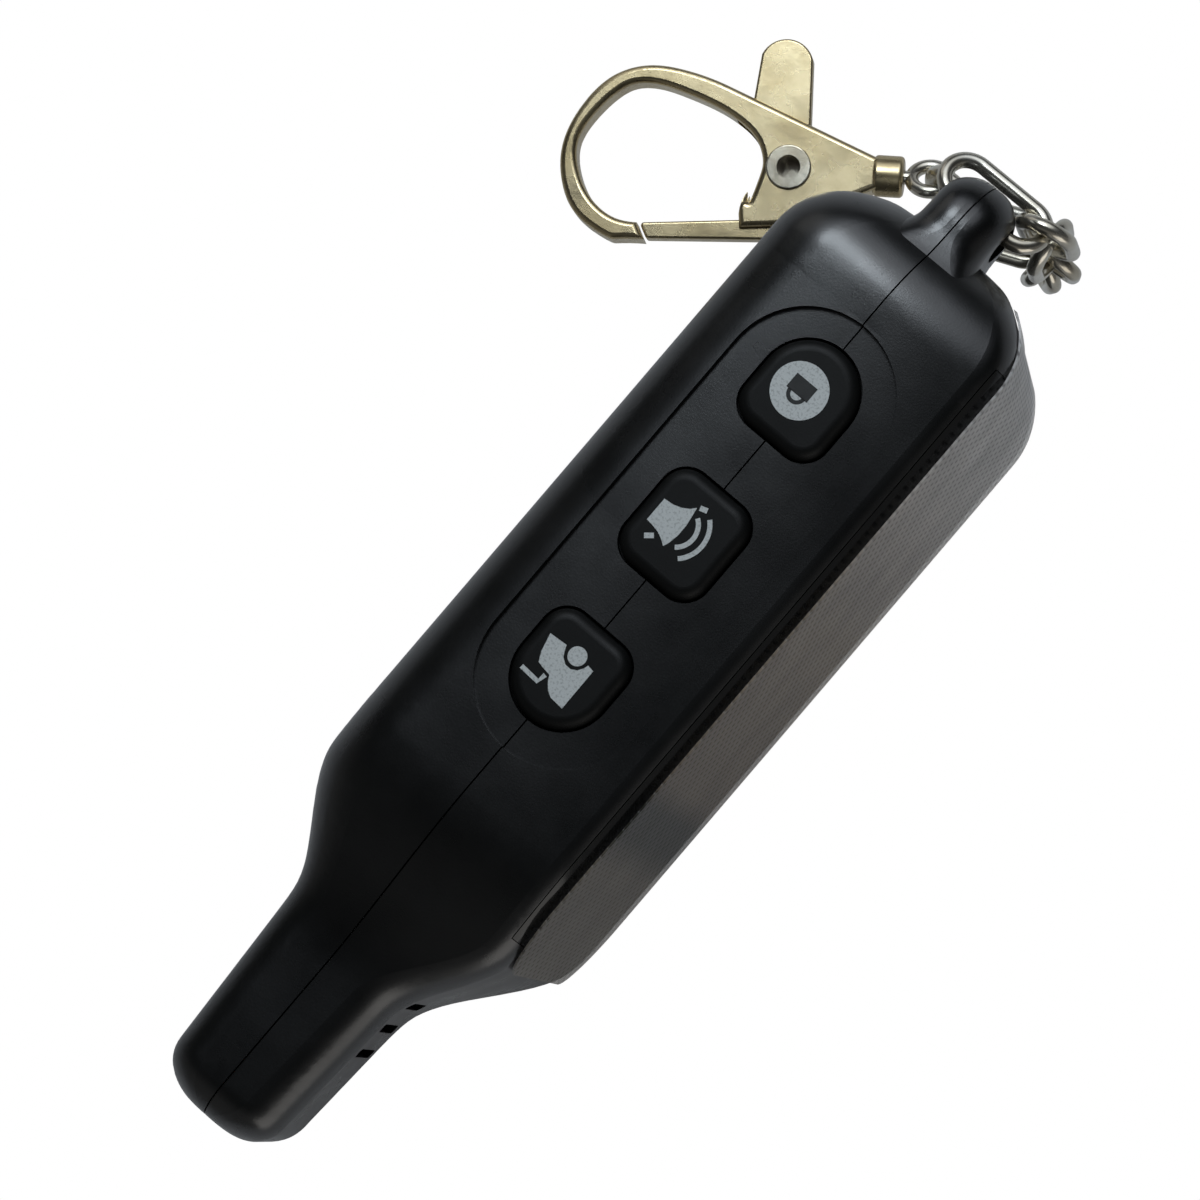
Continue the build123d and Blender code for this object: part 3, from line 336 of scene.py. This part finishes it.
for plain_pieces, metallic_share in ((PLAIN_METALS, 1.0), (PLAIN_OTHERS, 0.0)):
    for piece_name, (look_name, first_colour, second_colour, roughness_level) in plain_pieces.items():
        looks[piece_name] = plain(look_name, first_colour, second_colour, roughness_level, metallic_share)

for node_name, node_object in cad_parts.items():
    node_object.data.materials.clear()
    node_object.data.materials.append(looks[node_name])


# Printed icons on the keys: x towards the display and y towards the lug, in millimetres from the
# middle of the icons, which lies beside the key's own middle by ICON_SHIFT
ICON_SHIFT = (-0.35, 0.0, 0.0)
PRINT_LIFT = 0.004
DARK_PRINT_LIFT = 0.012
PRINT_BELOW, PRINT_ABOVE = 0.02, 0.01
MOST_CORNERS = 4  # a face with more is cut into triangles


def icon_material():
    """Pale print with fine speckles, worn through in a few places."""
    speckle_scale, wear_scale, wear_strength, speckle_height = 5200.0, 900.0, 0.5, 0.00001
    n = new_material("icon_print")
    speckle = n.noise(speckle_scale, 2.0)
    base = n.ramp(speckle, [(0.34, linear(176, 181, 180)), (0.5, linear(206, 211, 210))])
    wear = n.grey_ramp(n.noise(wear_scale, 5.0), [(0.27, 1.0), (0.33, 0.0)])
    base = n.mix(n.calculate("MULTIPLY", wear, wear_strength), base, linear(80, 84, 84))
    return n.finish(colour=base, roughness=0.55, normal=n.bump(speckle, speckle_height, 0.4))


def flat_piece(name, key, outlines, material, lift):
    """A thin raised print on top of a key, from closed outlines."""
    low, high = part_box(f"key_{key}")
    middle = (low + high) / 2 + Vector(ICON_SHIFT) * MM
    base_z = high.z + lift * MM
    mesh = bmesh.new()
    for outline in outlines:
        rings = []
        for z in (base_z - PRINT_BELOW * MM, base_z + PRINT_ABOVE * MM):
            rings.append([mesh.verts.new((middle.x + x * MM, middle.y + y * MM, z)) for x, y in outline])
        lower, upper = rings
        mesh.faces.new(upper)
        mesh.faces.new(list(reversed(lower)))
        for i in range(len(outline)):
            j = (i + 1) % len(outline)
            mesh.faces.new((lower[i], lower[j], upper[j], upper[i]))
    bmesh.ops.recalc_face_normals(mesh, faces=mesh.faces)
    bmesh.ops.triangulate(mesh, faces=[face for face in mesh.faces if len(face.verts) > MOST_CORNERS])
    data = bpy.data.meshes.new(name)
    mesh.to_mesh(data)
    mesh.free()
    data.materials.append(material)
    piece = bpy.data.objects.new(name, data)
    scene.collection.objects.link(piece)
    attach(piece, f"{key}_key")


def circle(x, y, r, count, start=0.0, end=360.0):
    """Points on a circle, or on a part of one that has both its ends."""
    full = end - start >= 360.0
    steps = count if full else count - 1
    angles = [math.radians(start + (end - start) * i / steps) for i in range(count)]
    return [(x + r * math.cos(a), y + r * math.sin(a)) for a in angles]


def band(x, y, r, width, start, end, count=24):
    """A bow of even width, cut straight at both ends."""
    outer = circle(x, y, r + width / 2, count, start, end)
    inner = circle(x, y, r - width / 2, count, start, end)
    return outer + list(reversed(inner))


def stroke(points, width):
    """A line of even width through points, as one outline."""
    left, right = [], []
    for i, (x, y) in enumerate(points):
        before = points[max(0, i - 1)]
        after = points[min(len(points) - 1, i + 1)]
        dx, dy = after[0] - before[0], after[1] - before[1]
        length = math.hypot(dx, dy)
        nx, ny = -dy / length * width / 2, dx / length * width / 2
        left.append((x + nx, y + ny))
        right.append((x - nx, y - ny))
    return left + list(reversed(right))


LOCK_DISC = circle(0, 0, r=2.15, count=56)
LOCK_BODY = ((-0.95, 0.9), (0.95, 0.9), (0.95, -0.35), (-0.95, -0.35))
LOCK_BOW = band(0, -0.3, r=0.62, width=0.3, start=180, end=360)
BELL = (
    (-2.35, -0.95), (-1.75, -1.0), (-1.15, -1.12), (-0.6, -1.38), (-0.2, -1.65), (-0.02, -1.2),
    (0.12, -0.4), (0.12, 0.5), (0.0, 1.3), (-0.12, 2.0), (-0.45, 1.62), (-0.95, 1.3), (-1.6, 1.08),
    (-2.35, 1.0),
)
SOUND_NEAR = band(-0.5, 0.1, r=1.62, width=0.36, start=-52, end=56)
SOUND_FAR = band(-0.5, 0.1, r=2.45, width=0.36, start=-46, end=48)
SOUND_BEFORE = stroke(((-1.75, -1.95), (-1.2, -1.5)), width=0.4)
SOUND_AFTER = stroke(((0.05, 2.12), (0.6, 2.3)), width=0.4)
CAR = (
    (-2.3, 1.5), (-0.85, 1.62), (-0.68, 1.2), (-0.45, 0.8), (0.0, 0.5), (0.5, 0.48), (0.95, 0.75),
    (1.2, 1.15), (1.3, 1.5), (1.85, 1.42), (1.88, -2.05), (0.75, -1.98), (0.25, -1.7),
    (-0.15, -1.25), (-0.4, -0.8), (-1.05, -0.72), (-1.6, -0.6), (-1.95, 0.1),
)
WHEEL = circle(0.28, 1.5, r=0.72, count=36)
OPEN_LID = stroke(((-2.35, -1.62), (-0.75, -1.7), (-0.62, -1.0)), width=0.36)

icon_print = icon_material()
icon_dark = plain("icon_dark", (24, 26, 25), (30, 32, 31), rough=0.5, scale=900.0)
for name, key, outlines, material, lift in (
    ("icon_lock_disc", "lock", [LOCK_DISC], icon_print, PRINT_LIFT),
    ("icon_lock_shape", "lock", [LOCK_BODY, LOCK_BOW], icon_dark, PRINT_LIFT + DARK_PRINT_LIFT),
    ("icon_horn_bell", "horn", [BELL], icon_print, PRINT_LIFT),
    ("icon_horn_sound", "horn", [SOUND_NEAR, SOUND_FAR], icon_print, PRINT_LIFT),
    ("icon_horn_ends", "horn", [SOUND_BEFORE, SOUND_AFTER], icon_print, PRINT_LIFT),
    ("icon_trunk_car", "trunk", [CAR], icon_print, PRINT_LIFT),
    ("icon_trunk_wheel", "trunk", [WHEEL], icon_print, PRINT_LIFT),
    ("icon_trunk_lid", "trunk", [OPEN_LID], icon_print, PRINT_LIFT),
):
    flat_piece(name, key, outlines, material, lift)


# Floor, light and background, in metres and watts
FLOOR_Z = -0.04  # below the lowest pose of the chain
FLOOR_HALF = 1.5
FLOOR_COLOUR = (0.86, 0.86, 0.86, 1.0)
WINDOW_SIDE = (-0.3, 0.6, 0.74)
WINDOW_STRENGTH = 1.4
# The room's light by how far a direction turns towards the window: the last stops are the window
WINDOW_LIGHT = (
    (0.0, (0.09, 0.09, 0.09)), (0.45, (0.008, 0.008, 0.008)), (0.74, (0.014, 0.015, 0.016)),
    (0.86, (0.085, 0.09, 0.1)), (0.95, (0.75, 0.8, 0.88)), (1.0, (0.9, 0.94, 1.0)),
)
LAMP_AIM = Vector((0, 0, 0.02))
# Each lamp's name, place, power, width and colour
LAMPS = (
    ("lamp_near_lug", (-0.1, 0.13, 0.25), 0.2, 0.1, (0.84, 0.93, 1.0)),
    ("lamp_back_side", (-0.5, 0.25, 0.2), 0.12, 0.3, (1.0, 0.99, 0.97)),
    ("lamp_display_side", (0.5, -0.25, 0.12), 0.5, 0.4, (1.0, 0.97, 0.93)),
)


def add_floor():
    """A pale grey floor for the light, which the camera sees as plain white."""
    n = new_material("floor")
    material = n.finish(colour=FLOOR_COLOUR, roughness=0.9)
    glow = n.add("ShaderNodeEmission", Color=WHITE, Strength=1.0)
    output = [node for node in n.tree.nodes if node.type == "OUTPUT_MATERIAL"][0]
    n.show_to_camera(glow, n.shader, output)
    corners = [(x * FLOOR_HALF, y * FLOOR_HALF, FLOOR_Z) for x, y in ((-1, -1), (1, -1), (1, 1), (-1, 1))]
    data = bpy.data.meshes.new("floor")
    data.from_pydata(corners, [], [(0, 1, 2, 3)])
    data.materials.append(material)
    floor = bpy.data.objects.new("floor", data)
    scene.collection.objects.link(floor)


def add_world():
    """White behind the fob, and for the light a dark room with one broad soft window."""
    scene.world = bpy.data.worlds.new("world")
    n = Nodes(scene.world)
    n.tree.nodes.clear()
    where = n.add("ShaderNodeTexCoord")
    towards = n.add("ShaderNodeVectorMath", operation="DOT_PRODUCT")
    towards.inputs[1].default_value = Vector(WINDOW_SIDE).normalized()
    n.join(where.outputs["Generated"], towards.inputs[0])
    light = n.ramp(towards.outputs["Value"], [(share, (*colour, 1.0)) for share, colour in WINDOW_LIGHT])
    room = n.add("ShaderNodeBackground", Strength=WINDOW_STRENGTH)
    n.join(light, room.inputs["Color"])
    backdrop = n.add("ShaderNodeBackground", Color=WHITE)
    n.show_to_camera(backdrop, room, n.add("ShaderNodeOutputWorld"))


def add_lamp(name, place, power, width, colour):
    """A square soft lamp that points at the fob."""
    data = bpy.data.lights.new(name, "AREA")
    data.energy = power
    data.size = width
    data.color = colour
    lamp = bpy.data.objects.new(name, data)
    scene.collection.objects.link(lamp)
    lamp.location = place
    aim = LAMP_AIM - Vector(place)
    lamp.rotation_euler = aim.to_track_quat("-Z", "Y").to_euler()


add_floor()
add_world()
for lamp_settings in LAMPS:
    add_lamp(*lamp_settings)
